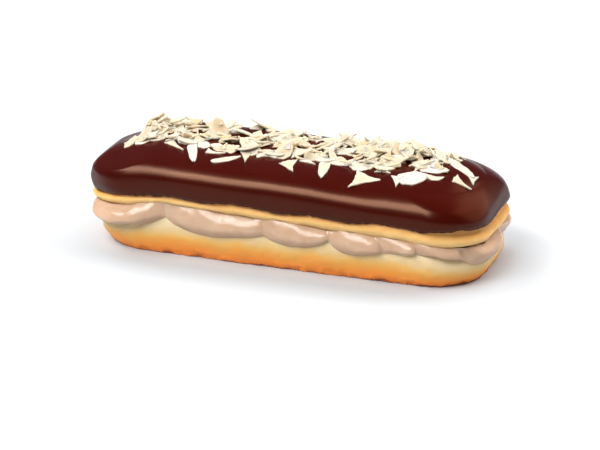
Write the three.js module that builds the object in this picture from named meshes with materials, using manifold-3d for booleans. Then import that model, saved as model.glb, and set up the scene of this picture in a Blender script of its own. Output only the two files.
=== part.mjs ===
// Long john doughnut: a yeast-raised bar split along its middle, filled with mocha cream, iced with
// dark chocolate and strewn with flaked almonds.
// Millimetres, +Z up. X runs along the bar, -Y is its front, and the origin is the centre of the flat
// face that it rests on.
import * as THREE from "three";
import { mergeVertices } from "three/addons/utils/BufferGeometryUtils.js";
import Module from "manifold-3d";

const wasm = await Module();
wasm.setup();

// Driving dimensions: the two halves of the bar in plan. The corner radius grows by softening for each
// millimetre that an outline is taken in, and shift is how far along X the half lies off the middle.
const TOP_PLAN = { length: 149, width: 57, softening: 1.3, shift: -0.8 };
const BASE_PLAN = { length: 148, width: 56, softening: 0, shift: 0.2 };
const CORNER_RADIUS = 18;
const SIDE_CROWN = 0.03; // share of the width that a long side loses towards the ends
const END_CROWN = 0.025; // share of the length that an end loses towards its corners

// Heights above the resting face: in the middle of the bar, the fall for each millimetre to the right, and
// the droop at each end, which begins at a distance from the middle
const BASE_CUT = { middle: 15.2, tilt: 0, left: 5, right: 5, from: 40 }; // cut face of the lower half
const TOP_CUT = { middle: 18.7, tilt: 0.03, left: 4.9, right: 1.9, from: 40 }; // cut face of the upper half
const TOP_WAIST = { middle: 24, tilt: 0.025, left: 1.5, right: 1.6, from: 40 }; // where its dome begins
const TOP_RIDGE = { middle: 35.8, tilt: 0, left: 4, right: 0, from: 46 }; // its crown, under the icing
const ICING_EDGE = { middle: 22.9, tilt: 0.008, left: 3.7, right: 0.5, from: 46 }; // the icing's lower edge
const DROOP_END = 75;
const BACK_FALL = 1.3; // how much lower the crown is along the back

// Side profiles
const BASE_TUCK = 3.4; // how far the lower half's flat underside lies inside its widest line
const BASE_WAIST_SHARE = 0.68; // height of that widest line, as a share of the cut face's height
const CUT_TUCK = 1.2; // how far each cut edge lies inside the widest line
const RIM_PUFF = { sides: 0.9, ends: 2 }; // how far the upper half swells out below the icing
const DOME_FULLNESS = { left: 3.5, right: 2.8, ends: 2.6 }; // 2 is an ellipse, and more is a squarer dome
const FULLNESS_CHANGE = { from: 0, to: 40 }; // where along X the sides change from left to right
const END_STEEPNESS = 0.1; // how much shorter the dome is at the ends than at the sides
const RIDGE_ANGLE = THREE.MathUtils.degToRad(80); // where the dome's flat crown begins

// Icing
const ICING_THICKNESS = 1.5;
const ICING_WAVE = 0.6; // how far its lower edge wanders up and down
const EDGE_WAVES = [
  { share: 0.75, turns: 7, phase: 1.2 },
  { share: 0.25, turns: 3, phase: 0 },
];
// The lip's turns: each one's share of the way out, and its height above the lower edge
const LIP_FOOT = { out: 0, above: 0.2 };
const LIP_BOTTOM = { out: 0.3, above: 0 };
const LIP_FRONT = { out: 0.6, above: 0.9 };
const SIDE_ABOVE_EDGE = { inside: 0.6, outside: 1.3 }; // the least height of the side above the lower edge
const GAP = 0.35; // clearance between neighbouring pieces

// Cream: where one squeezed-out lobe ends and the next begins, in millimetres along half of the bar,
// from the middle of one end, round the front, to the middle of the other end. The other half repeats it.
// Each lobe hangs from the seam at its start down to its lowest height and up to the next seam, and bulges
// out of the lower half.
const CREAM_LOBES = [
  { start: 4, seam: 9.6, lowest: 9.7, bulge: 4.6 },
  { start: 50.5, seam: 15, lowest: 10.2, bulge: 2.2 },
  { start: 90, seam: 12.9, lowest: 10.3, bulge: 2.2 },
  { start: 115, seam: 13.8, lowest: 10, bulge: 2.2 },
  { start: 134.5, seam: 12, lowest: 12.2, bulge: 1.8 },
  { start: 148, seam: 13.2, lowest: 12.2, bulge: 2.2 },
  { start: 165, seam: 10.2, lowest: 7.8, bulge: 2.8 },
];
const SEAM_BULGE = 0.6; // how far the cream stands out where two lobes meet
const LOBE_ROUNDNESS = 2.4;
const SEAM_SHARE = 0.98; // the highest that a seam may be, as a share of the lower half's height
const CREAM_INSIDE = 9; // inset of the rings that close the cream's two flat faces
// A lobe's side, from its lower edge: shares of its bulge, and of the height up to the upper half along the
// sides and round the ends
const LOBE_SIDE = [
  { bulge: 0.7, sides: 0.08, ends: 0.2 },
  { bulge: 1, sides: 0.3, ends: 0.6 },
  { bulge: 0.5, sides: 0.72, ends: 0.86 },
];

// Flaked almonds: rows and columns over the crown, then the ones that stand out at the front or stand up. A
// slice is an uneven oval, and a pointed one is a broken shard with a notch between each two tips.
const FLAKE_THICKNESS = 1.1;
const FLAKE_COLUMNS = 15;
const FLAKE_ROWS = 4;
// How far the crown's flakes reach each way, how far left and back their middle lies, and the share of
// y lost at the ends
const FLAKE_REACH = { x: 62, y: 15.5, left: 3.5, back: 2.5, narrowing: 0.4 };
const FLAKE_LENGTH = { least: 7, most: 12 };
const FLAKE_SLIMNESS = { least: 0.4, most: 0.75 }; // width as a share of length
const FLAKE_RAGGEDNESS = { least: 0.05, most: 0.35 }; // how far a corner may fall short of the oval
const FRONT_RAGGEDNESS = { least: 0, most: 0.15 };
const FLAKE_NOTCH = 0.55; // how deep a shard's notches are
const FLAKE_SHARDS = 0.55; // share of the flakes that are shards
const FLAKE_TAPER = 0.3; // how much narrower one end is
const FLAKE_TILT = THREE.MathUtils.degToRad(20);
const FRONT_TILT = THREE.MathUtils.degToRad(6);
const FLAKE_SINK = 0.3; // share of its thickness that lies in the icing
const FLAKE_SIDES = 6;
const FLAKE_SEED = 20;
// Headings and leans are in degrees, and a lean lifts the far edge
const FRONT_FLAKES = [
  { x: -64, y: -4.5, length: 8, width: 5, heading: 41, pointed: true, lean: 0 },
  { x: -57.5, y: -7.5, length: 8.5, width: 5, heading: 42, pointed: false, lean: 0 },
  { x: -44.5, y: -11.8, length: 16, width: 5, heading: -47, pointed: true, lean: 0 },
  { x: -35.5, y: -15.8, length: 21, width: 3.8, heading: -67, pointed: false, lean: 0 },
  { x: -28, y: -15.4, length: 12.5, width: 4, heading: -14, pointed: true, lean: 0 },
  { x: -21.5, y: -19.6, length: 11.5, width: 3, heading: 38, pointed: false, lean: 0 },
  { x: -15.5, y: -14, length: 16.5, width: 6, heading: -80, pointed: true, lean: 0 },
  { x: -10.5, y: -12.5, length: 9.5, width: 6, heading: -10, pointed: true, lean: 0 },
  { x: 2, y: -17.6, length: 15.5, width: 7.5, heading: -67, pointed: true, lean: 0 },
  { x: 7, y: -12.5, length: 10, width: 5, heading: -36, pointed: true, lean: 0 },
  { x: 14.5, y: -15.2, length: 18, width: 4.6, heading: -79, pointed: false, lean: 0 },
  { x: 18.5, y: -11.3, length: 9.5, width: 2.8, heading: -9, pointed: false, lean: 0 },
  { x: 27, y: -9.5, length: 11, width: 9.5, heading: 30, pointed: false, lean: 0 },
  { x: 30, y: -20, length: 15, width: 12.5, heading: -125, pointed: true, lean: 0 },
  { x: 35, y: -12.5, length: 9, width: 5, heading: -30, pointed: true, lean: 0 },
  { x: 42.5, y: -17.5, length: 9.5, width: 7, heading: -94, pointed: true, lean: 0 },
  { x: 47.5, y: -14.5, length: 12.5, width: 9, heading: 38, pointed: false, lean: 0 },
  { x: 51.5, y: -5.5, length: 12.5, width: 9, heading: -12, pointed: false, lean: 0 },
  { x: 54.5, y: -12.5, length: 7, width: 3.2, heading: 14, pointed: false, lean: 0 },
  { x: 60.5, y: 0.5, length: 15, width: 5, heading: -33, pointed: false, lean: 0 },
  { x: 62.5, y: -9.5, length: 12.5, width: 5.5, heading: -22, pointed: true, lean: 0 },
  { x: 66, y: -4.5, length: 9, width: 4, heading: -79, pointed: true, lean: 0 },
  { x: -60, y: 6, length: 15.5, width: 8.5, heading: 70, pointed: false, lean: 54 },
  { x: -54, y: 7, length: 16, width: 8.5, heading: 105, pointed: true, lean: 56 },
  { x: -11, y: 9, length: 11.5, width: 7, heading: 75, pointed: false, lean: 36 },
  { x: 10, y: 9, length: 11, width: 7, heading: 60, pointed: true, lean: 36 },
  { x: 25, y: 9, length: 13, width: 8, heading: 100, pointed: false, lean: 42 },
  { x: 37, y: 8, length: 15, width: 10, heading: 80, pointed: false, lean: 50 },
];

// Where the rings lie: shares of the lower half's height and the upper half's side, and steps up its dome
const BASE_SHARES = [0, 0.1, 0.22, 0.36, 0.52, BASE_WAIST_SHARE, 0.86, 1];
const RIM_SHARES = [0, 0.25, 0.5, 0.75, 1];
const DOME_STEPS = 7;
const INNER_DOME_STEPS = 6;
const WALL_DROPS = [0, 0.5, 1]; // shares of the way down the lower half's wall to a lobe's lower edge

// How finely the rings are divided: round the bar's halves and icing, and round the cream with its lobes
const COARSE_STEPS = { long: 25, halfEnd: 3, corner: 5 };
const FINE_STEPS = { long: 41, halfEnd: 4, corner: 8 };

// Stretches of half of the bar's outline: an end's half, a corner, a long side, a corner, an end's half
const HALF_END = BASE_PLAN.width / 2 - CORNER_RADIUS;
const CORNER_ARC = (Math.PI / 2) * CORNER_RADIUS;
const LONG_SIDE = BASE_PLAN.length - 2 * CORNER_RADIUS;
const HALF_OUTLINE = 2 * HALF_END + 2 * CORNER_ARC + LONG_SIDE;

// Stations round the bar, anticlockwise from the middle of the +X end. Each one holds how far along X (u)
// and Y (v) it lies towards a corner's centre, the outward direction, and its place along its half.
function makeStations(steps) {
  const half = [];
  let start = 0;
  const stretch = (count, length, placeAt) => {
    for (let i = 0; i < count; i++) {
      const [u, v, quarters] = placeAt(i / count);
      const angle = (quarters * Math.PI) / 2;
      const along = start + (length * i) / count;
      half.push({ u, v, nx: Math.cos(angle), ny: Math.sin(angle), along });
    }
    start += length;
  };
  stretch(steps.halfEnd, HALF_END, (t) => [1, t, 0]);
  stretch(steps.corner, CORNER_ARC, (t) => [1, 1, t]);
  stretch(steps.long, LONG_SIDE, (t) => [1 - 2 * t, 1, 1]);
  stretch(steps.corner, CORNER_ARC, (t) => [-1, 1, 1 + t]);
  stretch(steps.halfEnd, HALF_END, (t) => [-1, 1 - t, 2]);
  const turned = half.map(({ u, v, nx, ny, along }) => ({ u: -u, v: -v, nx: -nx, ny: -ny, along }));
  return [...half, ...turned];
}

// A station's point on a plan outline taken in by inset, with the dome's shorter inset at the ends
function planPoint(plan, station, inset) {
  const halfWidth = plan.width / 2 - inset;
  const endInset = inset * (1 - (END_STEEPNESS * Math.max(inset, 0)) / (plan.width / 2));
  const halfLength = plan.length / 2 - endInset;
  const radius = Math.min(CORNER_RADIUS + plan.softening * Math.max(inset, 0), halfWidth);
  const x = station.u * (halfLength - radius) + station.nx * radius;
  const y = station.v * (halfWidth - radius) + station.ny * radius;
  const crownedX = x * (1 - END_CROWN * (y / (plan.width / 2)) ** 2);
  const crownedY = y * (1 - SIDE_CROWN * (x / (plan.length / 2)) ** 2);
  return new THREE.Vector2(crownedX + plan.shift, crownedY);
}

// A ring of points round the bar, from functions that give each station's inset and its height at x
function ring(stations, plan, insetAt, heightAt) {
  return stations.map((station) => {
    const flat = planPoint(plan, station, insetAt(station));
    return new THREE.Vector3(flat.x, flat.y, heightAt(flat.x, station));
  });
}

// A closed solid skinned over a stack of rings from its underside to its upper side. Strips across the
// bar close the first and the last ring.
function skin(rings) {
  const count = rings[0].length;
  const index = [];
  for (let k = 0; k + 1 < rings.length; k++) {
    for (let i = 0; i < count; i++) {
      const a = k * count + i;
      const b = k * count + ((i + 1) % count);
      index.push(a, b, b + count, a, b + count, a + count);
    }
  }
  const last = (rings.length - 1) * count;
  for (let i = 0; i < count / 2; i++) {
    const strip = [i, i + 1, count - i - 1, (count - i) % count];
    const halves = [
      [strip[0], strip[1], strip[2]],
      [strip[0], strip[2], strip[3]],
    ];
    for (const [a, b, c] of halves) {
      if (a === b || b === c || a === c) continue;
      index.push(last + a, last + b, last + c, c, b, a);
    }
  }
  const geometry = new THREE.BufferGeometry().setFromPoints(rings.flat());
  geometry.setIndex(index);
  return geometry;
}

const { lerp, smoothstep } = THREE.MathUtils;
const levelAt = ({ middle, tilt, left, right, from }, x) =>
  middle - tilt * x - left * smoothstep(-x, from, DROOP_END) - right * smoothstep(x, from, DROOP_END);
const baseCut = (x) => levelAt(BASE_CUT, x);
const topCut = (x) => levelAt(TOP_CUT, x);
const topWaist = (x) => levelAt(TOP_WAIST, x);

// Inset of the lower half's wall at a share of its height: tucked in below, and a little at the cut
function baseInset(share) {
  if (share < BASE_WAIST_SHARE) {
    const below = 1 - share / BASE_WAIST_SHARE;
    return BASE_TUCK * below * below;
  }
  const above = (share - BASE_WAIST_SHARE) / (1 - BASE_WAIST_SHARE);
  return CUT_TUCK * above * above;
}

const COARSE = makeStations(COARSE_STEPS);
const FINE = makeStations(FINE_STEPS);

function baseGeometry() {
  const level = (share) => ring(COARSE, BASE_PLAN, () => baseInset(share), (x) => baseCut(x) * share);
  return skin(BASE_SHARES.map(level));
}

// The icing's lower edge, wandering a little round the bar
function icingEdge(x, station) {
  const turn = (2 * Math.PI * station.along) / HALF_OUTLINE;
  const waves = EDGE_WAVES.map(({ share, turns, phase }) => share * Math.sin(turns * turn + phase));
  return levelAt(ICING_EDGE, x) + ICING_WAVE * waves.reduce((a, b) => a + b);
}

// Top of the upper half's bare side, which the icing doesn't cover
const bareTop = (x, station) => Math.min(icingEdge(x, station), topWaist(x)) - GAP;

// A ring on the upper half's side, moved out by offset, at heights given at x and a station. The side tucks
// in at the cut and swells out where it is bare.
function rimRing(offset, heightAt) {
  const insetAt = (station) => {
    const { x } = planPoint(TOP_PLAN, station, 0);
    const height = heightAt(x, station);
    const below = Math.max(topWaist(x) - height, 0) / (topWaist(x) - topCut(x));
    const bare = Math.max(bareTop(x, station) - height, 0) / (bareTop(x, station) - topCut(x));
    const puff = lerp(RIM_PUFF.ends, RIM_PUFF.sides, station.ny ** 2);
    return CUT_TUCK * below ** 2 - puff * Math.sin(Math.PI * bare) - offset;
  };
  return ring(COARSE, TOP_PLAN, insetAt, heightAt);
}

// The upper half's rings below its dome, moved out by offset
function topRimRings(offset) {
  return RIM_SHARES.map((share) => {
    const heightAt = (x, station) => lerp(topCut(x), bareTop(x, station), share);
    return rimRing(offset, heightAt);
  });
}

// The dome's section at a station and an angle up from its foot: shares of its half width and of its rise,
// and the direction that its surface faces
function domeSection(station, angle) {
  const { x } = planPoint(TOP_PLAN, station, 0);
  const change = smoothstep(x, FULLNESS_CHANGE.from, FULLNESS_CHANGE.to);
  const side = lerp(DOME_FULLNESS.left, DOME_FULLNESS.right, change);
  const fullness = lerp(DOME_FULLNESS.ends, side, station.ny ** 2);
  const outward = Math.cos(angle) ** (2 / fullness);
  const upward = Math.sin(angle) ** (2 / fullness);
  const facing = new THREE.Vector2(
    outward ** (fullness - 1) / (TOP_PLAN.width / 2),
    upward ** (fullness - 1) / (TOP_RIDGE.middle - TOP_WAIST.middle),
  );
  return { outward, upward, facing: facing.normalize() };
}

function domeRings(offset, steps) {
  const rings = [];
  for (let k = 0; k <= steps; k++) {
    const angle = (RIDGE_ANGLE * k) / steps;
    const insetAt = (station) => {
      const { outward, facing } = domeSection(station, angle);
      return (TOP_PLAN.width / 2) * (1 - outward) - offset * facing.x;
    };
    const heightAt = (x, station) => {
      const { upward, facing } = domeSection(station, angle);
      const ridge = levelAt(TOP_RIDGE, x) - BACK_FALL * Math.max(station.ny, 0);
      return lerp(topWaist(x), ridge, upward) + offset * facing.y;
    };
    rings.push(ring(COARSE, TOP_PLAN, insetAt, heightAt));
  }
  return rings;
}

function topGeometry() {
  return skin([...topRimRings(0), ...domeRings(0, DOME_STEPS)]);
}

// The lobe of cream that a station lies in: how far it bulges there, and how high its lower edge is
function creamLobe(station) {
  const first = CREAM_LOBES[0];
  const place = ((station.along - first.start + HALF_OUTLINE) % HALF_OUTLINE) + first.start;
  const found = CREAM_LOBES.findLastIndex((lobe) => lobe.start <= place);
  const { start, seam, lowest, bulge } = CREAM_LOBES[found];
  const next = CREAM_LOBES[found + 1] ?? { ...first, start: first.start + HALF_OUTLINE };
  const share = (place - start) / (next.start - start);
  const swell = 1 - Math.abs(2 * share - 1) ** LOBE_ROUNDNESS;
  const edge = lerp(lerp(seam, next.seam, share), lowest, swell);
  return { bulge: lerp(SEAM_BULGE, bulge, swell), edge };
}

// The cream fills the gap between the halves, hangs over the lower one's wall and bulges out in lobes
function creamGeometry() {
  const floor = (x) => baseCut(x) + GAP;
  const roof = (x) => topCut(x) - GAP;
  // A height on the wall as a share of it, from the cut edge (drop 0) to the lobe's lower edge (drop 1)
  const wallShare = (drop, x, station) =>
    lerp(1, Math.min(creamLobe(station).edge / baseCut(x), SEAM_SHARE), drop);
  const wall = (drop) => {
    const insetAt = (station) => {
      const { x } = planPoint(BASE_PLAN, station, 0);
      return baseInset(wallShare(drop, x, station)) - GAP;
    };
    return ring(FINE, BASE_PLAN, insetAt, (x, station) => wallShare(drop, x, station) * baseCut(x));
  };
  const outside = ({ bulge, sides, ends }) => {
    const insetAt = (station) => -GAP - bulge * creamLobe(station).bulge;
    const heightAt = (x, station) => {
      const rise = lerp(ends, sides, station.ny ** 2);
      return lerp(wallShare(1, x, station) * baseCut(x), roof(x), rise);
    };
    return ring(FINE, BASE_PLAN, insetAt, heightAt);
  };
  const face = (inset, heightAt) => ring(FINE, BASE_PLAN, () => inset, heightAt);
  return skin([
    face(CREAM_INSIDE, floor),
    face(CUT_TUCK, floor),
    ...WALL_DROPS.map(wall),
    ...LOBE_SIDE.map(outside),
    face(CUT_TUCK, roof),
    face(CREAM_INSIDE, roof),
  ]);
}

function icingGeometry() {
  const outside = GAP + ICING_THICKNESS;
  const lip = ({ out, above }) =>
    rimRing(lerp(GAP, outside, out), (x, station) => icingEdge(x, station) + above);
  const side = (offset, above) =>
    rimRing(offset, (x, station) => Math.max(topWaist(x), icingEdge(x, station) + above));
  return skin([
    ...domeRings(GAP, INNER_DOME_STEPS).slice(1).reverse(),
    side(GAP, SIDE_ABOVE_EDGE.inside),
    ...[LIP_FOOT, LIP_BOTTOM, LIP_FRONT].map(lip),
    side(outside, SIDE_ABOVE_EDGE.outside),
    ...domeRings(outside, DOME_STEPS).slice(1),
  ]);
}

// A generator of numbers from 0 to 1 that gives the same ones each time
function seededRandom(seed) {
  let state = seed;
  return () => {
    state = (Math.imul(state, 1664525) + 1013904223) >>> 0;
    return state / 2 ** 32;
  };
}

// A flake lying flat, narrower at one end, of a few sides
function flakeGeometry({ length, width, ragged, pointed }, random) {
  const points = [];
  for (let i = 0; i < FLAKE_SIDES; i++) {
    const angle = (2 * Math.PI * (i + 0.5 * random())) / FLAKE_SIDES;
    const notch = pointed && i % 2 === 1 ? FLAKE_NOTCH : 0;
    const reach = (1 - notch) * (1 - ragged * random());
    const x = (length / 2) * Math.cos(angle) * reach;
    const y = (width / 2) * Math.sin(angle) * reach * (1 - FLAKE_TAPER * Math.cos(angle));
    points.push(new THREE.Vector2(x, y));
  }
  const shape = new THREE.Shape(points);
  return new THREE.ExtrudeGeometry(shape, { depth: FLAKE_THICKNESS, bevelEnabled: false });
}

// Every flake's place in plan, size, heading, raggedness, kind, lean and tilt
function flakePlan(random) {
  const draw = ({ least, most }) => least + (most - least) * random();
  const flakes = [];
  for (let column = 0; column < FLAKE_COLUMNS; column++) {
    for (let row = 0; row < FLAKE_ROWS; row++) {
      const place = 2 * ((column + random()) / FLAKE_COLUMNS) - 1;
      const x = FLAKE_REACH.x * place - FLAKE_REACH.left;
      const reach = FLAKE_REACH.y * (1 - FLAKE_REACH.narrowing * Math.abs(place) ** 3);
      const y = FLAKE_REACH.back + reach * (2 * ((row + random()) / FLAKE_ROWS) - 1);
      const length = draw(FLAKE_LENGTH);
      const width = length * draw(FLAKE_SLIMNESS);
      const heading = 360 * random();
      const ragged = draw(FLAKE_RAGGEDNESS);
      const pointed = random() < FLAKE_SHARDS;
      flakes.push({ x, y, length, width, heading, ragged, pointed, lean: 0, tilt: FLAKE_TILT });
    }
  }
  const front = FRONT_FLAKES.map((flake) => ({
    ...flake,
    ragged: draw(FRONT_RAGGEDNESS),
    tilt: FRONT_TILT,
  }));
  return [...flakes, ...front];
}

// A geometry as a solid for joining and cutting
function solidOf(geometry) {
  const bare = geometry.clone();
  bare.deleteAttribute("normal");
  bare.deleteAttribute("uv");
  const merged = mergeVertices(bare, 1e-4);
  return new wasm.Manifold(
    new wasm.Mesh({
      numProp: 3,
      vertProperties: merged.attributes.position.array,
      triVerts: new Uint32Array(merged.index.array),
    }),
  );
}

// The largest body of a solid as a geometry, without loose scraps and sealed hollows
function geometryOf(solid) {
  const bodies = solid.decompose();
  const largest = bodies.reduce((a, b) => (b.volume() > a.volume() ? b : a));
  const { vertProperties, triVerts } = largest.getMesh();
  const geometry = new THREE.BufferGeometry();
  geometry.setAttribute("position", new THREE.BufferAttribute(vertProperties, 3));
  geometry.setIndex(new THREE.BufferAttribute(triVerts, 1));
  return geometry;
}

// The icing with its flakes fused on: each one is dropped from above and lies along the surface there
function icedFlakesGeometry() {
  const random = seededRandom(FLAKE_SEED);
  const icing = icingGeometry();
  const surface = new THREE.Mesh(icing);
  const under = solidOf(skin([...topRimRings(GAP), ...domeRings(GAP, INNER_DOME_STEPS)]));
  const drop = new THREE.Raycaster();
  const up = new THREE.Vector3(0, 0, 1);
  let fused = solidOf(icing);
  for (const flake of flakePlan(random)) {
    drop.set(new THREE.Vector3(flake.x, flake.y, 2 * TOP_RIDGE.middle), up.clone().negate());
    const { point, face } = drop.intersectObject(surface)[0];
    const forward = THREE.MathUtils.degToRad(flake.lean) + flake.tilt * (2 * random() - 1);
    const lean = new THREE.Euler(forward, flake.tilt * (2 * random() - 1), 0);
    const lying = new THREE.Quaternion().setFromUnitVectors(up, face.normal);
    const turned = new THREE.Quaternion().setFromAxisAngle(up, THREE.MathUtils.degToRad(flake.heading));
    const placed = new THREE.Matrix4().compose(
      point,
      lying.multiply(new THREE.Quaternion().setFromEuler(lean)).multiply(turned),
      new THREE.Vector3(1, 1, 1),
    );
    const geometry = flakeGeometry(flake, random).translate(0, 0, -FLAKE_SINK * FLAKE_THICKNESS);
    fused = fused.add(solidOf(geometry.applyMatrix4(placed)).subtract(under));
  }
  return geometryOf(fused);
}

function part(name, geometry, color, roughness) {
  const mesh = new THREE.Mesh(geometry, new THREE.MeshStandardMaterial({ color, roughness, metalness: 0 }));
  mesh.name = name;
  return mesh;
}

const doughnut = new THREE.Group();
doughnut.add(
  part("doughnut_base", baseGeometry(), 0xe0a050, 0.7),
  part("cream_filling", creamGeometry(), 0xd9ae94, 0.45),
  part("doughnut_top", topGeometry(), 0xe8b468, 0.7),
  part("chocolate_icing", icedFlakesGeometry(), 0x4f1a14, 0.25),
);
export default doughnut;
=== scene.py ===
# Looks of the long john doughnut: fried dough, mocha cream, chocolate icing and almond flakes.
# Metres, +Z up. X runs along the doughnut, -Y is its front, and the origin is the centre of its underside.
import math

import bpy
import numpy as np
from mathutils import Euler, Matrix, Quaternion, Vector, noise
from mathutils.bvhtree import BVHTree


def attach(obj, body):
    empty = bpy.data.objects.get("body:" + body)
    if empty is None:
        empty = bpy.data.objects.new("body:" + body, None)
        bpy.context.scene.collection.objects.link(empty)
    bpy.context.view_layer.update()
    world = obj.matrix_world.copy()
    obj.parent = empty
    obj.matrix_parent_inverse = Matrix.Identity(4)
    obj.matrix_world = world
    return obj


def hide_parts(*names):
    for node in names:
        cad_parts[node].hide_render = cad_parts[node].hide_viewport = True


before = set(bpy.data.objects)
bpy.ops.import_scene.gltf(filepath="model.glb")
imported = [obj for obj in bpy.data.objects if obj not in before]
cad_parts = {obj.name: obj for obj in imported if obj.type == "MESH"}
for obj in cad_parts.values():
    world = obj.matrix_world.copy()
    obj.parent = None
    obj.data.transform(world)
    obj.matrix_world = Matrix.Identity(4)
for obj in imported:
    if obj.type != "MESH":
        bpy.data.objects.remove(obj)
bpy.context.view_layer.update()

MM = 0.001


# A height along the bar, in millimetres: at the middle, how far each end droops, how much it falls for each
# millimetre to the right, and how far from the middle the droop starts
def level(middle, left, right, tilt=0.0, start=40):
    return {
        "middle": middle * MM,
        "left": left * MM,
        "right": right * MM,
        "tilt": tilt,
        "start": start * MM,
    }


# The two halves of the bar in plan, and the heights, as in the solids
TOP_PLAN = {"length": 149 * MM, "width": 57 * MM, "softening": 1.3, "shift": -0.8 * MM}
BASE_PLAN = {"length": 148 * MM, "width": 56 * MM, "softening": 0.0, "shift": 0.2 * MM}
CORNER_RADIUS = 18 * MM
SIDE_CROWN = 0.03
END_CROWN = 0.025
BASE_CUT = level(15.2, left=5, right=5)
TOP_CUT = level(18.7, left=4.9, right=1.9, tilt=0.03)
TOP_WAIST = level(24, left=1.5, right=1.6, tilt=0.025)
TOP_RIDGE = level(35.8, left=4, right=0, start=46)
BACK_FALL = 1.3 * MM
ICING_EDGE = level(22.9, left=3.7, right=0.5, tilt=0.008, start=46)
DROOP_END = 75 * MM

# Side profiles: how far the dough tucks in at the foot and the cuts, how far the bare rim swells out, and
# how full the dome is
BASE_TUCK = 3.4 * MM
BASE_WAIST_SHARE = 0.68
CUT_TUCK = 1.2 * MM
# How far inside its edge the upper half's cut is closed flat
CUT_INSIDE = 2 * MM
RIM_PUFF_SIDES, RIM_PUFF_ENDS = 0.9 * MM, 2 * MM
FULLNESS_LEFT, FULLNESS_RIGHT, FULLNESS_ENDS = 3.5, 2.8, 2.6
FULLNESS_CHANGE = (0.0, 40 * MM)
END_STEEPNESS = 0.1

# Icing: its lip is the rounded lower edge, and its swells are low and longer across the bar than along it
ICING_THICKNESS = 1.8 * MM
ICING_LIP = 1.1 * MM
LIP_HEIGHT = 0.6 * MM
LIP_FULLNESS = 0.6
ICING_SIDE_RISE = 1.5 * MM
ICING_UNEVENNESS = 0.38 * MM
ICING_SWELL = 26 * MM
SWELL_STRETCH = np.array([1, 0.6, 0.6])
ICING_WAVE = 0.6 * MM
# Each wave of the edge: its share, its turns along half of the outline, and its phase
EDGE_WAVES = [(0.75, 7, 1.2), (0.25, 3, 0)]
# From the bare rim up to the icing's edge, and from the dough out to the icing on it
GAP = 0.35 * MM
ICING_CREEP = 0.1 * MM

# Cream lobes, in millimetres: the start along half of the outline, the height of the seam there, the lowest
# point and how far the lobe bulges out
CREAM_LOBES = [
    (4, 9.6, 9.7, 4.6),
    (50.5, 15, 10.2, 2.2),
    (90, 12.9, 10.3, 2.2),
    (115, 13.8, 10, 2.2),
    (134.5, 12, 12.2, 1.8),
    (148, 13.2, 12.2, 2.2),
    (165, 10.2, 7.8, 2.8),
]
SEAM_BULGE = 0.4 * MM
LOBE_ROUNDNESS = 2.4
LOBE_BLUNTNESS = 3.0
LOBE_SKEW = 1.5
LOBE_LEAN = -5 * MM
LOBE_BELLY_SIDES, LOBE_BELLY_ENDS = 0.36, 0.6
CREAM_RECESS = (-1.2 * MM, 0.6 * MM)
RECESS_SIZE = 13 * MM
RECESS_CHANGE = (-0.25, 0.35)
SEAM_SHARE = 0.98
CREAM_INSIDE = 9 * MM
CREAM_GAP = 0.2 * MM
CREAM_SQUEEZE = 0.6 * MM

# Low relief: sums of noise, each with its height, the size of its features and its octaves
BASE_LUMPS = [(0.3 * MM, 16 * MM, 2), (0.08 * MM, 2.5 * MM, 3)]
BASE_CRAGS = [(0.6 * MM, 4 * MM, 3)]
CUT_WANDER = [(0.4 * MM, 5 * MM, 2)]
RIM_LUMPS = [(0.35 * MM, 9 * MM, 2), (0.16 * MM, 2.2 * MM, 3)]
CREAM_LUMPS = [(0.35 * MM, 7 * MM, 2), (0.04 * MM, 1.5 * MM, 2)]
EDGE_WANDER = [(0.35 * MM, 6 * MM, 3), (0.25 * MM, 1.8 * MM, 2)]
# The heights between which it comes in or fades out
LUMPS_START = (0, 1.5 * MM)
CRAGS_END = (0.5 * MM, 4 * MM)
RIM_END = (22 * MM, 25 * MM)
SWELLS_START = (22 * MM, 27 * MM)
# How much weaker and finer each further octave of noise is
NOISE_FALL = 1.0
NOISE_STEP = 2.0

# Almond flakes: the solids' own ones, then smaller ones between them
FLAKE_THICKNESS = 0.7 * MM
FLAKE_COLUMNS = 15
FLAKE_ROWS = 4
FLAKE_REACH = (62 * MM, 15.5 * MM)
FLAKE_LEFT = 3.5 * MM
FLAKE_BACK = 2.5 * MM
FLAKE_NARROWING = 0.4
FLAKE_LENGTH = (7 * MM, 12 * MM)
FLAKE_SLIMNESS = (0.4, 0.75)
FLAKE_RAGGEDNESS = (0.05, 0.35)
FRONT_RAGGEDNESS = (0.0, 0.15)
FLAKE_NOTCH = 0.55
FLAKE_SHARDS = 0.55
FLAKE_TAPER = 0.3
FLAKE_TILT = math.radians(20)
FRONT_TILT = math.radians(6)
FLAKE_EASE = 0.55
FLAKE_SIDES = 6
FLAKE_SIDE_POINTS = 5
CORNER_WANDER = 0.5
# Sides bow in on a shard and out on a whole slice
SHARD_BOW = 0.06
SLICE_BOW = -0.12
FLAKE_JAGGEDNESS = 0.16
FLAKE_CURL = (-0.5 * MM, 1.2 * MM)
# Rings of a flake's face from the rim inwards: their scale, and their dip as a share of the thickness
FLAKE_RINGS = [(1.0, 0.18), (0.93, 0.0), (0.55, 0.0)]
FLAKE_SHARP_ANGLE = math.radians(40)
# How a flake lies: the share of its points that clear what is under it, and how far it then sinks in
FLAKE_CLEARANCE = 0.8
FLAKE_SINK = 0.3 * MM
FLAKE_SEED = 20
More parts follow.
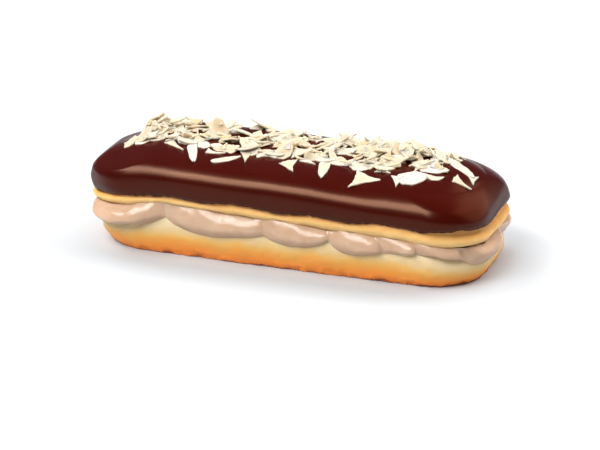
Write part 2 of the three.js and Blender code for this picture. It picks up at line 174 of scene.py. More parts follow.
# Those that stand out at the front or stand up, in millimetres and degrees: a lean lifts the far edge
FLAKE_KEYS = ("x", "y", "length", "width", "heading", "pointed", "lean")
FRONT_FLAKES = [
    (-64, -4.5, 8, 5, 41, True, 0),
    (-57.5, -7.5, 8.5, 5, 42, False, 0),
    (-44.5, -11.8, 16, 5, -47, True, 0),
    (-35.5, -15.8, 21, 3.8, -67, False, 0),
    (-28, -15.4, 12.5, 4, -14, True, 0),
    (-21.5, -19.6, 11.5, 3, 38, False, 0),
    (-15.5, -14, 16.5, 6, -80, True, 0),
    (-10.5, -12.5, 9.5, 6, -10, True, 0),
    (2, -17.6, 15.5, 7.5, -67, True, 0),
    (7, -12.5, 10, 5, -36, True, 0),
    (14.5, -15.2, 18, 4.6, -79, False, 0),
    (18.5, -11.3, 9.5, 2.8, -9, False, 0),
    (27, -9.5, 11, 9.5, 30, False, 0),
    (30, -20, 15, 12.5, -125, True, 0),
    (35, -12.5, 9, 5, -30, True, 0),
    (42.5, -17.5, 9.5, 7, -94, True, 0),
    (47.5, -14.5, 12.5, 9, 38, False, 0),
    (51.5, -5.5, 12.5, 9, -12, False, 0),
    (54.5, -12.5, 7, 3.2, 14, False, 0),
    (60.5, 0.5, 15, 5, -33, False, 0),
    (62.5, -9.5, 12.5, 5.5, -22, True, 0),
    (66, -4.5, 9, 4, -79, True, 0),
    (-60, 6, 15.5, 8.5, 70, False, 54),
    (-54, 7, 16, 8.5, 105, True, 56),
    (-11, 9, 11.5, 7, 75, False, 36),
    (10, 9, 11, 7, 60, True, 36),
    (25, 9, 13, 8, 100, False, 42),
    (37, 8, 15, 10, 80, False, 50),
]
SMALL_FLAKES = 220
SMALL_SEED = 78
SMALL_LENGTH = (5.5 * MM, 12 * MM)
SMALL_REACH = (61 * MM, 17.5 * MM)
SMALL_BACK = 5.5 * MM
SMALL_TILT = math.radians(44)
# Where the small ones pile up: x and y in millimetres, and how many
LUMPS = [(-58, 6, 13), (-34, 6, 5), (-11, 9, 5), (10, 9, 5), (26, 8, 6), (39, 8, 9)]
LUMP_SPREAD = 4 * MM

# How toasted the flakes are all over, and how much more in the middle
CROWN_TONE = (0.08, 0.45)
FRONT_TONE = (0.0, 0.15)
LEANING_TONE = (0.25, 0.45)
CENTRE_TONE = 0.5

# How finely each ring is divided, and how many rings there are
STEPS = {"long": 260, "half_end": 24, "corner": 44}
BASE_RINGS = 40
RIM_RINGS = 22
CREAM_WALL_RINGS = 6
CREAM_LOBE_RINGS = 36
LIP_RINGS = 14
ICING_SIDE_RINGS = 8
INNER_DOME_RINGS = 12
OUTER_DOME_RINGS = 52
# Degrees up the dome at which the icing's dome starts, and at which the inner and outer ones end
DOME_FOOT = 12
INNER_DOME_END = 85
OUTER_DOME_END = 88.5

# The lower half's outline, measured along its stretches
HALF_END = BASE_PLAN["width"] / 2 - CORNER_RADIUS
CORNER_ARC = math.pi / 2 * CORNER_RADIUS
LONG_SIDE = BASE_PLAN["length"] - 2 * CORNER_RADIUS
HALF_OUTLINE = 2 * HALF_END + 2 * CORNER_ARC + LONG_SIDE


def lerp(a, b, t):
    return a + (b - a) * t


def smoothstep(x, low, high):
    t = np.clip((x - low) / (high - low), 0, 1)
    return t * t * (3 - 2 * t)


def level_at(height, x):
    left = height["left"] * smoothstep(-x, height["start"], DROOP_END)
    right = height["right"] * smoothstep(x, height["start"], DROOP_END)
    return height["middle"] - height["tilt"] * x - left - right


# Stations round the bar, anticlockwise from the middle of the +X end: how far along X (u) and Y (v) each
# lies towards a corner's centre, the outward direction, and its place along its half of the outline. The
# front half is the back half turned half a turn.
def make_stations():
    rows = []
    start = 0.0
    stretches = [
        (STEPS["half_end"], HALF_END, lambda t: (1, t, 0)),
        (STEPS["corner"], CORNER_ARC, lambda t: (1, 1, t)),
        (STEPS["long"], LONG_SIDE, lambda t: (1 - 2 * t, 1, 1)),
        (STEPS["corner"], CORNER_ARC, lambda t: (-1, 1, 1 + t)),
        (STEPS["half_end"], HALF_END, lambda t: (-1, 1 - t, 2)),
    ]
    for count, length, place_at in stretches:
        for i in range(count):
            u, v, quarters = place_at(i / count)
            angle = quarters * math.pi / 2
            rows.append((u, v, math.cos(angle), math.sin(angle), start + length * i / count))
        start += length
    half = np.array(rows)
    turned = half * np.array([-1, -1, -1, -1, 1])
    u, v, nx, ny, along = np.vstack([half, turned]).T
    return {"u": u, "v": v, "nx": nx, "ny": ny, "along": along}


STATIONS = make_stations()


# The stations' points on a plan outline taken in by inset
def plan_points(plan, inset):
    half_width = plan["width"] / 2 - inset
    inward = np.maximum(inset, 0)
    end_inset = inset * (1 - END_STEEPNESS * inward / (plan["width"] / 2))
    half_length = plan["length"] / 2 - end_inset
    radius = np.minimum(CORNER_RADIUS + plan["softening"] * inward, half_width)
    x = STATIONS["u"] * (half_length - radius) + STATIONS["nx"] * radius
    y = STATIONS["v"] * (half_width - radius) + STATIONS["ny"] * radius
    crowned_x = x * (1 - END_CROWN * (y / (plan["width"] / 2)) ** 2)
    crowned_y = y * (1 - SIDE_CROWN * (x / (plan["length"] / 2)) ** 2)
    return crowned_x + plan["shift"], crowned_y


BASE_X, BASE_Y = plan_points(BASE_PLAN, 0.0)
TOP_X, TOP_Y = plan_points(TOP_PLAN, 0.0)


# A ring of points: inset is a number or one for each station, and height_at gives heights from x
def ring(plan, inset, height_at):
    x, y = plan_points(plan, inset)
    return np.column_stack([x, y, np.broadcast_to(height_at(x), x.shape)])


# A mesh object from points and faces, smooth all over
def mesh_object(name, points, faces):
    mesh = bpy.data.meshes.new(name)
    mesh.from_pydata(points.tolist(), [], faces)
    mesh.polygons.foreach_set("use_smooth", [True] * len(mesh.polygons))
    mesh.update()
    made = bpy.data.objects.new(name, mesh)
    bpy.context.scene.collection.objects.link(made)
    return made


# A skin over a stack of rings, closed by strips across the bar at its first and last ring. Each ring's
# share of the height is kept for its colour.
def skin(name, rings, shares=None):
    count = len(rings[0])
    here = np.arange(count)
    beside = (here + 1) % count
    faces = []
    for k in range(len(rings) - 1):
        low = k * count
        high = low + count
        faces.extend(np.column_stack([low + here, low + beside, high + beside, high + here]).tolist())
    last = (len(rings) - 1) * count
    for i in range(count // 2):
        strip = [i, i + 1, count - i - 1, (count - i) % count]
        corners = list(dict.fromkeys(strip))
        faces.append([last + c for c in corners])
        faces.append(corners[::-1])
    made = mesh_object(name, np.vstack(rings), faces)
    if shares is not None:
        add_values(made, "share", np.repeat(shares, count))
    return made


# A named number at each of a mesh's points
def add_values(made, name, values):
    kept = made.data.attributes.new(name, "FLOAT", "POINT")
    kept.data.foreach_set("value", np.asarray(values, np.float32))


def mesh_points(made):
    flat = np.empty(len(made.data.vertices) * 3, np.float32)
    made.data.vertices.foreach_get("co", flat)
    return flat.reshape(-1, 3).astype(float)


def set_points(made, points):
    made.data.vertices.foreach_set("co", points.astype(np.float32).ravel())
    made.data.update()


# Moves a mesh's points out along their normals
def displace(made, amount):
    flat = np.empty(len(made.data.vertices) * 3, np.float32)
    made.data.vertex_normals.foreach_get("vector", flat)
    set_points(made, mesh_points(made) + flat.reshape(-1, 3) * amount[:, None])


# Smooth noise from about -1 to 1 at each point, with features of the given size
def noise_at(points, size, octaves=2):
    return np.array([noise.fractal(Vector(p) / size, NOISE_FALL, NOISE_STEP, octaves) for p in points])


# Low relief at each point, as a sum of noises
def relief(points, noises):
    return sum(height * noise_at(points, size, octaves) for height, size, octaves in noises)


# Heights from x: a level moved up by a shift
def level_plus(height, shift):
    return lambda x: level_at(height, x) + shift


# Heights from x: a share of the lower half's height
def base_height(share):
    return lambda x: share * level_at(BASE_CUT, x)


# Inset of the lower half's wall at a share of its height
def base_inset(share):
    below = np.clip(1 - share / BASE_WAIST_SHARE, 0, 1)
    above = np.clip((share - BASE_WAIST_SHARE) / (1 - BASE_WAIST_SHARE), 0, 1)
    return BASE_TUCK * below * below + CUT_TUCK * above * above


def make_base():
    shares = np.linspace(0, 1, BASE_RINGS)
    rings = [ring(BASE_PLAN, base_inset(share), base_height(share)) for share in shares]
    base = skin("base_dough", rings, shares)
    points = mesh_points(base)
    wall = smoothstep(points[:, 2], *LUMPS_START)
    foot = 1 - smoothstep(points[:, 2], *CRAGS_END)
    displace(base, wall * relief(points, BASE_LUMPS) + foot * relief(points, BASE_CRAGS))
    points = mesh_points(base)
    points[:, 2] = np.maximum(points[:, 2], 0)
    set_points(base, points)
    return base


# The icing's lower edge at each station, wandering a little round the bar
def icing_edge():
    turn = 2 * math.pi * STATIONS["along"] / HALF_OUTLINE
    waves = sum(share * np.sin(turns * turn + phase) for share, turns, phase in EDGE_WAVES)
    return level_at(ICING_EDGE, TOP_X) + ICING_WAVE * waves


BARE_TOP = np.minimum(icing_edge(), level_at(TOP_WAIST, TOP_X)) - GAP


# Inset of the upper half's side, which tucks in at the cut and swells out where the icing leaves it bare
def rim_inset(height):
    cut = level_at(TOP_CUT, TOP_X)
    waist = level_at(TOP_WAIST, TOP_X)
    below = np.maximum(waist - height, 0) / (waist - cut)
    bare = np.clip((BARE_TOP - height) / (BARE_TOP - cut), 0, 1)
    puff = lerp(RIM_PUFF_ENDS, RIM_PUFF_SIDES, STATIONS["ny"] ** 2)
    return CUT_TUCK * below**2 - puff * np.sin(math.pi * bare)


# A ring on that side, moved out by offset, at one height for each station
def rim_ring(offset, height):
    return ring(TOP_PLAN, rim_inset(height) - offset, lambda x: height)


# The upper half's dome at an angle up from its widest line, moved out by offset
def dome_ring(angle, offset):
    half_width = TOP_PLAN["width"] / 2
    rise = TOP_RIDGE["middle"] - TOP_WAIST["middle"]
    side = lerp(FULLNESS_LEFT, FULLNESS_RIGHT, smoothstep(TOP_X, *FULLNESS_CHANGE))
    fullness = lerp(FULLNESS_ENDS, side, STATIONS["ny"] ** 2)
    outward = math.cos(angle) ** (2 / fullness)
    upward = math.sin(angle) ** (2 / fullness)
    facing_out = outward ** (fullness - 1) / half_width
    facing_up = upward ** (fullness - 1) / rise
    facing = np.hypot(facing_out, facing_up)

    def height_at(x):
        ridge = level_at(TOP_RIDGE, x) - BACK_FALL * np.maximum(STATIONS["ny"], 0)
        dome = lerp(level_at(TOP_WAIST, x), ridge, upward)
        return dome + offset * facing_up / facing

    return ring(TOP_PLAN, half_width * (1 - outward) - offset * facing_out / facing, height_at)


def make_top():
    cut = level_at(TOP_CUT, TOP_X)
    cut += relief(np.column_stack([TOP_X, TOP_Y, cut]), CUT_WANDER)
    rim_shares = np.linspace(0, 1, RIM_RINGS)
    dome_angles = np.radians(np.linspace(0, INNER_DOME_END, INNER_DOME_RINGS))
    rings = [ring(TOP_PLAN, CUT_TUCK + CUT_INSIDE, level_plus(TOP_CUT, 0))]
    rings.extend(rim_ring(0, lerp(cut, BARE_TOP, share)) for share in rim_shares)
    rings.extend(dome_ring(angle, 0) for angle in dome_angles)
    top = skin("top_dough", rings, [0, *rim_shares, *np.ones(len(dome_angles))])
    points = mesh_points(top)
    rim = 1 - smoothstep(points[:, 2], *RIM_END)
    displace(top, rim * relief(points, RIM_LUMPS))
    return top


# The lobe that each station lies in, moved along by lean: how high its edge is and how far it bulges there
def cream_lobes(lean):
    starts, seams, lowest, bulges = np.array(CREAM_LOBES).T * MM
    place = (STATIONS["along"] - lean - starts[0]) % HALF_OUTLINE + starts[0]
    found = np.searchsorted(starts, place, side="right") - 1
    ends = np.append(starts[1:], starts[0] + HALF_OUTLINE)
    share = (place - starts[found]) / (ends[found] - starts[found])
    seam = lerp(seams[found], np.append(seams[1:], seams[0])[found], share)
    edge = lerp(seam, lowest[found], lobe_swell(share, LOBE_ROUNDNESS))
    return edge, lerp(SEAM_BULGE, bulges[found], lobe_swell(share**LOBE_SKEW, LOBE_BLUNTNESS))


# How far a lobe swells, from 0 at its two seams to 1
def lobe_swell(share, roundness):
    return 1 - np.abs(2 * share - 1) ** roundness


def make_cream():
    edge, _ = cream_lobes(0)
    low_share = np.minimum(edge / level_at(BASE_CUT, BASE_X), SEAM_SHARE)
    low_height = base_height(low_share)
    high_height = level_plus(TOP_CUT, CREAM_SQUEEZE)
    inside = level_plus(BASE_CUT, CREAM_GAP)
    rings = [ring(BASE_PLAN, CREAM_INSIDE, inside), ring(BASE_PLAN, CUT_TUCK, inside)]
    for drop in np.linspace(0, 1, CREAM_WALL_RINGS):
        share = lerp(1, low_share, drop)
        rings.append(ring(BASE_PLAN, base_inset(share) - CREAM_GAP, base_height(share)))
    low_inset = base_inset(low_share) - CREAM_GAP
    wander = noise_at(np.column_stack([BASE_X, BASE_Y, edge]), RECESS_SIZE, 1)
    recess = lerp(*CREAM_RECESS, smoothstep(wander, *RECESS_CHANGE) * STATIONS["ny"] ** 2)
    high_inset = CUT_TUCK + recess
    belly = lerp(LOBE_BELLY_ENDS, LOBE_BELLY_SIDES, STATIONS["ny"] ** 2)
    for turn in np.linspace(0, 1, CREAM_LOBE_RINGS)[1:]:
        _, bulge = cream_lobes(LOBE_LEAN * (turn - 0.5))
        rise = (1 - math.cos(math.pi * turn)) / 2
        below = np.maximum(1 - rise / belly, 0)
        above = np.maximum(rise - belly, 0) / (1 - belly)
        inset = lerp(lerp(low_inset - bulge, low_inset, below**2), high_inset, above**2)
        rings.append(ring(BASE_PLAN, inset, lambda x: lerp(low_height(x), high_height(x), rise)))
    rings.append(ring(BASE_PLAN, CREAM_INSIDE, level_plus(TOP_CUT, -CREAM_GAP)))
    cream = skin("mocha_cream", rings)
    displace(cream, relief(mesh_points(cream), CREAM_LUMPS))
    return cream


def make_icing():
    edge = icing_edge()
    edge += relief(np.column_stack([TOP_X, TOP_Y, edge]), EDGE_WANDER)
    side = np.maximum(level_at(TOP_WAIST, TOP_X), edge + ICING_SIDE_RISE)
    inner_angles = np.radians(np.linspace(INNER_DOME_END, DOME_FOOT, INNER_DOME_RINGS))
    outer_angles = np.radians(np.linspace(DOME_FOOT, OUTER_DOME_END, OUTER_DOME_RINGS))
    rings = [dome_ring(angle, ICING_CREEP) for angle in inner_angles]
    rings.append(rim_ring(ICING_CREEP, side))
    for angle in np.radians(np.linspace(0, 180, LIP_RINGS)):
        offset = lerp(ICING_CREEP, ICING_LIP, (1 - math.cos(angle)) / 2)
        rings.append(rim_ring(offset, edge + LIP_HEIGHT * (1 - math.sin(angle))))
    for share in np.linspace(0, 1, ICING_SIDE_RINGS)[1:]:
        offset = lerp(ICING_LIP, ICING_THICKNESS, share**LIP_FULLNESS)
        rings.append(rim_ring(offset, lerp(edge + LIP_HEIGHT, side, share)))
    rings.extend(dome_ring(angle, ICING_THICKNESS) for angle in outer_angles)
    icing = skin("chocolate", rings)
    points = mesh_points(icing)
    outside = smoothstep(points[:, 2], *SWELLS_START)
    swells = noise_at(points * SWELL_STRETCH, ICING_SWELL)
    displace(icing, outside * ICING_UNEVENNESS * swells)
    return icing


# A generator of numbers from 0 to 1, the same as the solids' one
class SeededRandom:
    MULTIPLIER = 1664525
    INCREMENT = 1013904223
    RANGE = 2**32

    def __init__(self, seed):
        self.state = seed

    def __call__(self):
        self.state = (self.state * self.MULTIPLIER + self.INCREMENT) % self.RANGE
        return self.state / self.RANGE

    def between(self, limits):
        return limits[0] + (limits[1] - limits[0]) * self()


# A flake's lean and its outline, which has the solid's corners and bowed sides
def shape_flake(flake, random):
    forward = flake["lean"] + flake["tilt"] * (2 * random() - 1)
    flake["turn"] = Euler((forward, flake["tilt"] * (2 * random() - 1), 0)).to_quaternion()
    corners = []
    for i in range(FLAKE_SIDES):
        angle = 2 * math.pi * (i + CORNER_WANDER * random()) / FLAKE_SIDES
        notch = FLAKE_NOTCH if flake["pointed"] and i % 2 == 1 else 0
        reach = (1 - notch) * (1 - flake["ragged"] * random())
        x = flake["length"] / 2 * math.cos(angle) * reach
        y = flake["width"] / 2 * math.sin(angle) * reach * (1 - FLAKE_TAPER * math.cos(angle))
        corners.append((x, y))
    corners = np.array(corners)
    bow = SHARD_BOW if flake["pointed"] else SLICE_BOW
    outline = []
    for i in range(FLAKE_SIDES):
        for k in range(FLAKE_SIDE_POINTS):
            t = k / FLAKE_SIDE_POINTS
            point = lerp(corners[i], corners[(i + 1) % FLAKE_SIDES], t)
            outline.append(point * (1 - bow * 4 * t * (1 - t)))
    flake["outline"] = np.array(outline)


# How far the flakes spread to either side at a place from -1 to 1 along the crown
def spread_at(place, widest):
    return widest * (1 - FLAKE_NARROWING * abs(place) ** 3)


# The flakes in the order that they are laid: the solids' ones by the solids' rule, with the front ones
# first, and then the small ones
def flake_plan():
    random = SeededRandom(FLAKE_SEED)
    crown = []
    for column in range(FLAKE_COLUMNS):
        for row in range(FLAKE_ROWS):
            place = 2 * ((column + random()) / FLAKE_COLUMNS) - 1
            flake = {"x": FLAKE_REACH[0] * place - FLAKE_LEFT, "lean": 0.0, "tilt": FLAKE_TILT}
            spread = spread_at(place, FLAKE_REACH[1])
            flake["y"] = FLAKE_BACK + spread * (2 * ((row + random()) / FLAKE_ROWS) - 1)
            flake["length"] = random.between(FLAKE_LENGTH)
            flake["width"] = flake["length"] * random.between(FLAKE_SLIMNESS)
            flake["heading"] = 2 * math.pi * random()
            flake["ragged"] = random.between(FLAKE_RAGGEDNESS)
            flake["pointed"] = random() < FLAKE_SHARDS
            flake["tone"] = CROWN_TONE
            crown.append(flake)
    front = []
    for values in FRONT_FLAKES:
        flake = dict(zip(FLAKE_KEYS, values))
        for key in ("x", "y", "length", "width"):
            flake[key] *= MM
        for key in ("heading", "lean"):
            flake[key] = math.radians(flake[key])
        flake["ragged"] = random.between(FRONT_RAGGEDNESS)
        flake["tilt"] = FRONT_TILT
        flake["tone"] = LEANING_TONE if flake["lean"] else FRONT_TONE
        front.append(flake)
    for flake in crown + front:
        shape_flake(flake, random)
    return front + crown + small_flakes()


# Where the small ones lie: scattered over the crown, and then the lumps
def small_places(random):
    places = []
    for _ in range(SMALL_FLAKES):
        place = 2 * random() - 1
        spread = spread_at(place, SMALL_REACH[1])
        places.append((SMALL_REACH[0] * place - FLAKE_LEFT, SMALL_BACK + spread * (2 * random() - 1)))
    for x, y, count in LUMPS:
        for _ in range(count):
            aside = LUMP_SPREAD * (2 * random() - 1)
            places.append((x * MM + aside, y * MM + LUMP_SPREAD * (2 * random() - 1)))
    return places


def small_flakes():
    random = SeededRandom(SMALL_SEED)
    flakes = []
    for x, y in small_places(random):
        flake = {"x": x, "y": y, "lean": 0.0, "tilt": SMALL_TILT, "tone": CROWN_TONE}
        flake["length"] = random.between(SMALL_LENGTH)
        flake["width"] = flake["length"] * random.between(FLAKE_SLIMNESS)
        flake["heading"] = 2 * math.pi * random()
        flake["ragged"] = random.between(FLAKE_RAGGEDNESS)
        flake["pointed"] = random() < FLAKE_SHARDS
        shape_flake(flake, random)
        flakes.append(flake)
    return flakes


# The height of what lies under a point of the plan: the icing first, then the flakes as they pile up
class Pile:
    CELL = 0.4 * MM
    HALF_SIZE = np.array([78 * MM, 32 * MM])
    BOTTOM = 15 * MM
    RAY_START = 1.0
    DOWN = Vector((0, 0, -1))

    def __init__(self, surface):
        tree = BVHTree.FromObject(surface, bpy.context.evaluated_depsgraph_get())
        columns, rows = (2 * self.HALF_SIZE / self.CELL).astype(int)
        self.height = np.full((columns, rows), self.BOTTOM)
        for i in range(columns):
            for j in range(rows):
                x, y = np.array([i, j]) * self.CELL - self.HALF_SIZE
                hit = tree.ray_cast(Vector((x, y, self.RAY_START)), self.DOWN)[0]
                if hit is not None:
                    self.height[i, j] = hit.z

    def cells(self, flat):
        place = np.rint((flat + self.HALF_SIZE) / self.CELL).astype(int)
        columns, rows = self.height.shape
        return np.clip(place[:, 0], 0, columns - 1), np.clip(place[:, 1], 0, rows - 1)

    def under(self, flat):
        return self.height[self.cells(flat)]

    def add(self, points):
        np.maximum.at(self.height, self.cells(points[:, :2]), points[:, 2])


# One flake's points and faces, lying flat on z = 0, and how near each point is to its middle: two faces
# made of rings round a middle point, joined at the rim
def flake_mesh(outline, curl):
    count = len(outline)
    reach = np.abs(outline).max(axis=0)
    points, faces = [], []
    for side, height in ((1, FLAKE_THICKNESS), (-1, 0.0)):
        first = len(points)
        for scale, dip in FLAKE_RINGS:
            z = np.full(count, height - side * dip * FLAKE_THICKNESS)
            points.extend(np.column_stack([outline * scale, z]).tolist())
        middle = len(points)
        points.append([0, 0, height])
        for outer in range(first, middle - count, count):
            inner = outer + count
            for i in range(count):
                j = (i + 1) % count
                quad = [outer + i, outer + j, inner + j, inner + i]
                faces.append(quad if side > 0 else quad[::-1])
        innermost = middle - count
        for i in range(count):
            fan = [innermost + i, innermost + (i + 1) % count, middle]
            faces.append(fan if side > 0 else fan[::-1])
    bottom = len(points) // 2
    for i in range(count):
        j = (i + 1) % count
        faces.append([bottom + i, bottom + j, j, i])
    points = np.array(points)
    points[:, 2] += curl * (points[:, 0] / reach[0]) ** 2
    from_middle = np.hypot(points[:, 0] / reach[0], points[:, 1] / reach[1])
    return points, faces, np.clip(1 - from_middle, 0, 1)


# Lays a flake's points on the pile: along the slope under it, leaning a little, and sunk in by a bit
def lay_flake(flake, points, pile):
    place = np.array([flake["x"], flake["y"]])
    turned = points @ np.array(Matrix.Rotation(flake["heading"], 3, "Z").transposed())
    flat = turned[:, :2] + place
    fit = np.column_stack([np.ones(len(flat)), turned[:, :2]])
    (height, slope_x, slope_y), *_ = np.linalg.lstsq(fit, pile.under(flat), rcond=None)
    normal = Vector((-slope_x, -slope_y, 1)).normalized()
    lying = Vector((0, 0, 1)).rotation_difference(normal) @ Quaternion().slerp(flake["turn"], FLAKE_EASE)
    laid = turned @ np.array(lying.to_matrix().transposed()) + np.array([*place, height])
    laid[:, 2] += np.quantile(pile.under(laid[:, :2]) - laid[:, 2], FLAKE_CLEARANCE) - FLAKE_SINK
    pile.add(laid)
    return laid


def make_flakes(icing):
    pile = Pile(icing)
    random = SeededRandom(SMALL_SEED)
    all_points, all_faces, all_toast = [], [], []
    total = 0
    for flake in flake_plan():
        rough = [[1 + FLAKE_JAGGEDNESS * (random() - 0.5)] for _ in flake["outline"]]
        points, faces, centre = flake_mesh(flake["outline"] * np.array(rough), random.between(FLAKE_CURL))
        laid = lay_flake(flake, points, pile)
        all_points.append(laid)
        all_faces.extend([[total + c for c in face] for face in faces])
        all_toast.append(random.between(flake["tone"]) + CENTRE_TONE * centre * random())
        total += len(laid)
    made = mesh_object("almond_flakes", np.vstack(all_points), all_faces)
    made.data.set_sharp_from_angle(angle=FLAKE_SHARP_ANGLE)
    add_values(made, "toast", np.concatenate(all_toast))
    return made


# How bright the light is on the front of the doughnut, down to its foot, and on its top, where 1 shows a
# white surface as white
FRONT_LIGHT = 1.35
BASE_LIGHT = 1.25
FOOT_LIGHT = 1.0
TOP_LIGHT = 1.95


# Material helpers: a material with its shader, and nodes joined by socket names
def new_material(name, **values):
    material = bpy.data.materials.new(name)
    material.use_nodes = True
    shader = material.node_tree.nodes["Principled BSDF"]
    for socket, value in values.items():
        shader.inputs[socket.replace("_", " ")].default_value = value
    return material, shader


def add_node(material, kind, **inputs):
    made = material.node_tree.nodes.new(kind)
    for socket, value in inputs.items():
        made.inputs[socket.replace("_", " ")].default_value = value
    return made


def join(material, out_socket, in_socket):
    material.node_tree.links.new(out_socket, in_socket)


def ramp(material, stops):
    made = add_node(material, "ShaderNodeValToRGB")
    while len(made.color_ramp.elements) < len(stops):
        made.color_ramp.elements.new(0.5)
    for element, (position, colour) in zip(made.color_ramp.elements, stops):
        element.position = position
        element.color = (*colour, 1)
    return made


def object_coordinates(material):
    return add_node(material, "ShaderNodeTexCoord").outputs["Object"]


def noise_node(material, scale, detail=3.0, roughness=0.5):
    made = add_node(material, "ShaderNodeTexNoise", Scale=scale, Detail=detail, Roughness=roughness)
    join(material, object_coordinates(material), made.inputs["Vector"])
    return made


def bump(material, shader, height, strength, distance):
    made = add_node(material, "ShaderNodeBump", Strength=strength, Distance=distance)
    join(material, height, made.inputs["Height"])
    join(material, made.outputs["Normal"], shader.inputs["Normal"])


# The colour of a surface that looks like this in the picture under a light of the given brightness
def seen(red, green, blue, light=FRONT_LIGHT):
    # A step of the picture's sRGB scale as a share of the light
    def linear(value):
        value /= 255
        return value / 12.92 if value <= 0.04045 else ((value + 0.055) / 1.055) ** 2.4

    return (linear(red) / light, linear(green) / light, linear(blue) / light)


# Fried dough: colour by the share of the height, wandering with noise
def dough_material(name, stops):
    drift = 0.2
    material, shader = new_material(
        name,
        Roughness=0.55,
        Subsurface_Weight=0.25,
        Subsurface_Radius=(1.0, 0.45, 0.2),
        Subsurface_Scale=2.5 * MM,
    )
    share = add_node(material, "ShaderNodeAttribute")
    share.attribute_name = "share"
    wander = add_node(material, "ShaderNodeMapRange", To_Min=-drift, To_Max=drift)
    mottling = noise_node(material, scale=110.0, detail=6.0, roughness=0.65)
    join(material, mottling.outputs["Fac"], wander.inputs["Value"])
    height = add_node(material, "ShaderNodeMath")
    join(material, share.outputs["Fac"], height.inputs[0])
    join(material, wander.outputs["Result"], height.inputs[1])
    colours = ramp(material, stops)
    join(material, height.outputs["Value"], colours.inputs["Fac"])
    join(material, colours.outputs["Color"], shader.inputs["Base Color"])
    grain = noise_node(material, scale=900.0, detail=5.0)
    bump(material, shader, grain.outputs["Fac"], strength=0.25, distance=0.3 * MM)
    return material


def cream_material():
    material, shader = new_material(
        "mocha_cream",
        Roughness=0.18,
        Specular_IOR_Level=0.32,
        Subsurface_Weight=0.5,
        Subsurface_Radius=(1.0, 0.6, 0.4),
        Subsurface_Scale=2 * MM,
    )
    colours = ramp(material, [(0.3, seen(207, 170, 140)), (0.7, seen(217, 183, 154))])
    mottling = noise_node(material, scale=160.0)
    join(material, mottling.outputs["Fac"], colours.inputs["Fac"])
    join(material, colours.outputs["Color"], shader.inputs["Base Color"])
    ripples = noise_node(material, scale=260.0, detail=2.0)
    bump(material, shader, ripples.outputs["Fac"], strength=0.3, distance=0.8 * MM)
    return material


# Chocolate icing: glossy, with less sheen where its surface turns away
def icing_material():
    gloss = 0.34
    edge_gloss = 0.03
    material, shader = new_material(
        "dark_chocolate",
        Roughness=0.25,
        Specular_IOR_Level=gloss,
        Specular_Tint=(1.0, 0.55, 0.34, 1),
    )
    turning = add_node(material, "ShaderNodeLayerWeight")
    sheen = add_node(
        material,
        "ShaderNodeMapRange",
        From_Min=0.5,
        From_Max=0.72,
        To_Min=gloss,
        To_Max=edge_gloss,
    )
    join(material, turning.outputs["Facing"], sheen.inputs["Value"])
    join(material, sheen.outputs["Result"], shader.inputs["Specular IOR Level"])
    colours = ramp(material, [(0.3, seen(57, 3, 1)), (0.7, seen(62, 6, 2))])
    mottling = noise_node(material, scale=60.0)
    join(material, mottling.outputs["Fac"], colours.inputs["Fac"])
    join(material, colours.outputs["Color"], shader.inputs["Base Color"])
    ripples = noise_node(material, scale=120.0, detail=2.0)
    bump(material, shader, ripples.outputs["Fac"], strength=0.06, distance=1 * MM)
    return material


# Almond: paler or more toasted from flake to flake, and towards each flake's middle
def almond_material():
    material, shader = new_material(
        "almond",
        Roughness=0.5,
        Subsurface_Weight=0.5,
        Subsurface_Radius=(1.0, 0.8, 0.5),
        Subsurface_Scale=2 * MM,
    )
    toast = add_node(material, "ShaderNodeAttribute")
    toast.attribute_name = "toast"
    colours = ramp(
        material,
        [
            (0.0, seen(255, 246, 231, TOP_LIGHT)),
            (0.35, seen(251, 235, 206, TOP_LIGHT)),
            (0.8, seen(234, 200, 148, TOP_LIGHT)),
        ],
    )
    join(material, toast.outputs["Fac"], colours.inputs["Fac"])
    join(material, colours.outputs["Color"], shader.inputs["Base Color"])
    grain = noise_node(material, scale=700.0)
    bump(material, shader, grain.outputs["Fac"], strength=0.15, distance=0.2 * MM)
    return material


# A piece of the doughnut: its material and the solid that it stands for
def dress(piece, material, node):
    piece.data.materials.append(material)
    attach(piece, "root")
    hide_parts(node)


# Colours of the two halves by the share of their height, from the foot or the cut upwards
BASE_COLOURS = [
    (0.0, seen(150, 70, 24, FOOT_LIGHT)),
    (0.06, seen(238, 132, 42, FOOT_LIGHT)),
    (0.2, seen(246, 150, 52, FOOT_LIGHT)),
    (0.4, seen(252, 176, 76, BASE_LIGHT)),
    (0.53, seen(243, 190, 101, BASE_LIGHT)),
    (0.66, seen(232, 199, 142, BASE_LIGHT)),
    (0.8, seen(228, 203, 157, BASE_LIGHT)),
    (1.0, seen(228, 205, 163, BASE_LIGHT)),
]
TOP_COLOURS = [
    # The dark first stop, at the upper half's cut edge, is painted shade: the shadowed gap between the rim
    # and the cream.
    (0.0, seen(160, 104, 54)),
    (0.06, seen(232, 174, 98)),
    (0.3, seen(254, 212, 140)),
    (0.6, seen(252, 200, 118)),
    (1.0, seen(226, 156, 74)),
]

icing = make_icing()
dress(make_base(), dough_material("base_crust", BASE_COLOURS), "doughnut_base")
dress(make_cream(), cream_material(), "cream_filling")
dress(make_top(), dough_material("top_crust", TOP_COLOURS), "doughnut_top")
flakes = make_flakes(icing)
dress(icing, icing_material(), "chocolate_icing")
dress(flakes, almond_material(), "chocolate_icing")

# Camera: the photograph's viewing angle, moved across so that the doughnut lies where the picture has it
CAMERA_AZIMUTH = math.radians(19.84)
CAMERA_ELEVATION = math.radians(20.62)
CAMERA_DISTANCE = 1.0
PIXELS_PER_METRE = 2735
IMAGE_SIZE = (600, 450)
ORIGIN_PIXEL = (300.6, 244.7)
SENSOR = 36
CLIP_START = 0.05
CLIP_END = 20

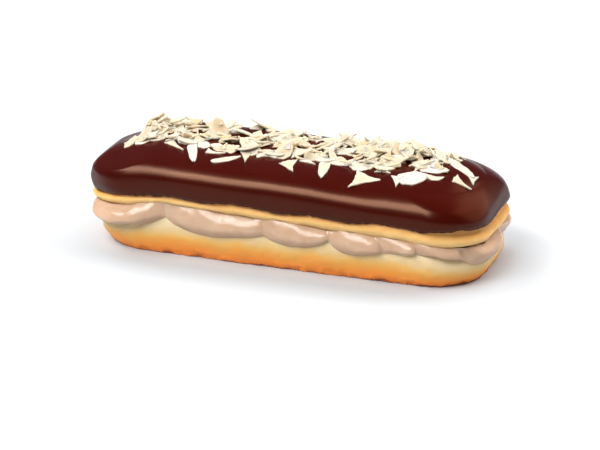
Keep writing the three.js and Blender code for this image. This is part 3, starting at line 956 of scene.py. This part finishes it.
# Floor, surroundings and what the lights face
FLOOR_HALF = 3.0
FLOOR_COLOUR = (0.445, 0.46, 0.475, 1)
WORLD_STRENGTH = 0.12
LIGHT_TARGET = Vector((0, 0, 0.03))
WHITE = (1, 1, 1)
WARM = (1, 0.6, 0.4)


def make_camera():
    across = Vector((math.cos(CAMERA_AZIMUTH), math.sin(CAMERA_AZIMUTH), 0))
    flat = math.cos(CAMERA_ELEVATION)
    back = Vector((across.y * flat, -across.x * flat, math.sin(CAMERA_ELEVATION)))
    up = back.cross(across)
    data = bpy.data.cameras.new("camera")
    data.sensor_width = SENSOR
    data.lens = PIXELS_PER_METRE * CAMERA_DISTANCE * SENSOR / IMAGE_SIZE[0]
    data.clip_start = CLIP_START
    data.clip_end = CLIP_END
    camera = bpy.data.objects.new("camera", data)
    right_shift = (IMAGE_SIZE[0] / 2 - ORIGIN_PIXEL[0]) / PIXELS_PER_METRE
    up_shift = (ORIGIN_PIXEL[1] - IMAGE_SIZE[1] / 2) / PIXELS_PER_METRE
    camera.location = back * CAMERA_DISTANCE + across * right_shift + up * up_shift
    camera.rotation_euler = (-back).to_track_quat("-Z", "Y").to_euler()
    bpy.context.scene.collection.objects.link(camera)
    bpy.context.scene.camera = camera


# A level rectangular light that faces the doughnut, from a direction given by its azimuth (clockwise from
# the front, seen from above) and elevation in degrees, with its distance and size in metres and its power
# in watts. A light that isn't mirrored doesn't show in reflections, and one without lighting shows in
# reflections alone.
def make_light(name, azimuth, elevation, distance, size, power, mirrored=True, lighting=True, colour=WHITE):
    turn = math.radians(azimuth)
    rise = math.radians(elevation)
    level_side = Vector((-math.cos(turn), math.sin(turn), 0))
    facing = Vector((-math.sin(turn) * math.cos(rise), -math.cos(turn) * math.cos(rise), math.sin(rise)))
    data = bpy.data.lights.new(name, "AREA")
    data.shape = "RECTANGLE"
    data.size, data.size_y = size
    data.energy = power
    data.color = colour
    light = bpy.data.objects.new(name, data)
    light.visible_glossy = mirrored
    light.visible_diffuse = lighting
    light.location = LIGHT_TARGET + facing * distance
    light.rotation_euler = Matrix((level_side, facing.cross(level_side), facing)).transposed().to_euler()
    bpy.context.scene.collection.objects.link(light)


def make_floor():
    corners = np.array([(-1, -1, 0), (1, -1, 0), (1, 1, 0), (-1, 1, 0)])
    floor = mesh_object("floor", FLOOR_HALF * corners, [[0, 1, 2, 3]])
    material, _ = new_material("floor_white", Base_Color=FLOOR_COLOUR, Roughness=0.9)
    floor.data.materials.append(material)


def make_world():
    world = bpy.data.worlds.new("studio")
    world.use_nodes = True
    background = world.node_tree.nodes["Background"]
    background.inputs["Color"].default_value = (*WHITE, 1)
    background.inputs["Strength"].default_value = WORLD_STRENGTH
    bpy.context.scene.world = world


# Two lights at the front, three fill lights, and a warm card for the icing's right end to reflect
def make_lights():
    make_light("front_main", 17, 47, 2.6, (1.54, 1.18), 72)
    make_light("front_left", 61, 51, 2.6, (1.5, 0.7), 40)
    make_light("back_fill", -174, 62, 1.6, (1.0, 1.2), 16, mirrored=False)
    make_light("right_fill", -125, 42, 1.6, (1.0, 1.0), 22, mirrored=False)
    make_light("left_fill", 125, 42, 1.6, (1.0, 1.0), 16, mirrored=False)
    make_light("side_card", -118, 32, 1.2, (1.6, 1.3), 11, lighting=False, colour=WARM)


make_camera()
make_floor()
make_world()
make_lights()
bpy.context.scene.view_settings.view_transform = "Standard"
